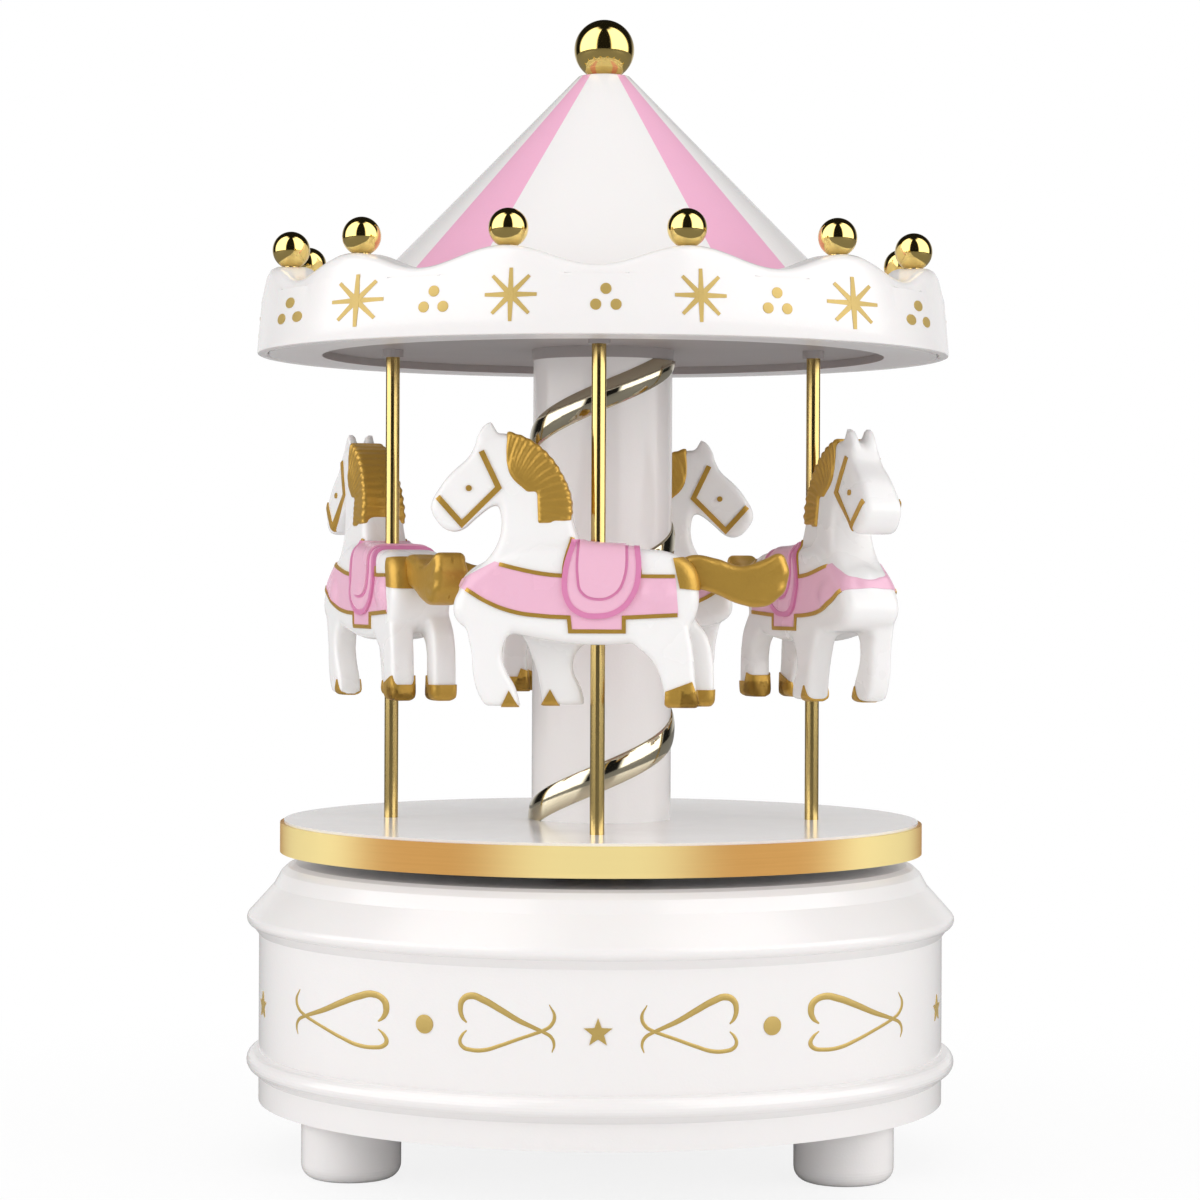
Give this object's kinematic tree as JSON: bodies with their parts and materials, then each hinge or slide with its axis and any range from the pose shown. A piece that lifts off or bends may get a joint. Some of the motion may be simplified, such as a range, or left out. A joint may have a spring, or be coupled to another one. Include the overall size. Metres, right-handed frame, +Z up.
{
  "type": "carousel music box",
  "caption": "Wind-up music box: a round footed base with a comb movement inside, and a canopied roundabout of horses on poles turning above it.",
  "frame": {"origin": "on the floor, at the centre of the circle through the three feet, under the roundabout's axis", "axes": "+Z up along the roundabout's axis, -Y towards the front, +X to the right as seen from the front"},
  "size_m": [0.1114, 0.1114, 0.1796],
  "materials": {
    "white_plastic": "glossy injection-moulded white",
    "horse_white": "glossy white with pink and gold painted tack, mane, tail and hooves",
    "roof_two_tone": "glossy white with four pale pink sectors",
    "gold_plating": "mirror-bright gold vacuum plating",
    "brushed_gold": "gold foil band, brushed round the edge",
    "champagne_gold": "pale gold plated strip",
    "movement_brass": "turned and milled brass",
    "machined_steel": "bright turned steel",
    "key_steel": "nickel-plated steel",
    "bedplate_zinc": "die-cast zinc, matt",
    "comb_steel": "ground spring steel",
    "spring_steel": "blued spring steel",
    "fan_nylon": "moulded nylon"
  },
  "bodies": {
    "base": {"base_shell": "white_plastic", "bottom_plate": "white_plastic", "foot_back": "white_plastic", "foot_front_left": "white_plastic", "foot_front_right": "white_plastic", "bottom_screws": "machined_steel", "spindle_bush": "movement_brass", "bedplate": "bedplate_zinc", "bedplate_screws": "machined_steel", "comb": "comb_steel", "comb_screws": "machined_steel", "governor_bracket": "movement_brass", "bracket_screw": "machined_steel", "click_spring": "spring_steel"},
    "roundabout": {"spring_barrel": "movement_brass", "mainspring": "spring_steel", "barrel_lid": "movement_brass", "drive_spindle": "machined_steel", "turntable": "white_plastic", "turntable_band": "brushed_gold", "column": "white_plastic", "spiral_strip": "champagne_gold", "pole_front": "gold_plating", "pole_left": "gold_plating", "pole_back": "gold_plating", "pole_right": "gold_plating", "horse_front": "horse_white", "horse_left": "horse_white", "horse_back": "horse_white", "horse_right": "horse_white", "canopy_ceiling": "white_plastic", "valance": "white_plastic", "roof": "roof_two_tone", "rim_balls": "gold_plating", "tie_rod": "machined_steel", "finial_ball": "gold_plating"},
    "key": {"winding_key": "key_steel", "winding_arbor": "machined_steel"},
    "cylinder": {"tune_cylinder": "movement_brass", "cylinder_arbor": "machined_steel", "cylinder_wheel": "movement_brass", "crown_pinion": "movement_brass"},
    "idler": {"idler_arbor": "machined_steel", "idler_pinion": "movement_brass", "worm_wheel": "movement_brass"},
    "governor": {"governor_worm": "machined_steel", "governor_fan": "fan_nylon"}
  },
  "joints": [
    {"name": "carousel_turn", "type": "hinge", "parent": "base", "child": "roundabout", "pos_m": [0, 0, 0.049], "axis": [0, 0, 1], "continuous": true},
    {"name": "key_turn", "type": "hinge", "parent": "base", "child": "key", "pos_m": [0, 0, 0.006], "axis": [0, 0, 1], "range_deg": [0, 1800]},
    {"name": "cylinder_turn", "type": "hinge", "parent": "base", "child": "cylinder", "pos_m": [0.028, 0, 0.02745], "axis": [1, 0, 0], "continuous": true},
    {"name": "idler_turn", "type": "hinge", "parent": "base", "child": "idler", "pos_m": [0.0395, -0.0097, 0.02745], "axis": [1, 0, 0], "continuous": true},
    {"name": "governor_turn", "type": "hinge", "parent": "base", "child": "governor", "pos_m": [0.0408, -0.01605, 0.03], "axis": [0, 0, 1], "continuous": true}
  ],
  "couplings": [
    {"joint": "cylinder_turn", "follows": "carousel_turn", "ratio": 4},
    {"joint": "idler_turn", "follows": "carousel_turn", "ratio": -12},
    {"joint": "governor_turn", "follows": "carousel_turn", "ratio": -192}
  ]
}
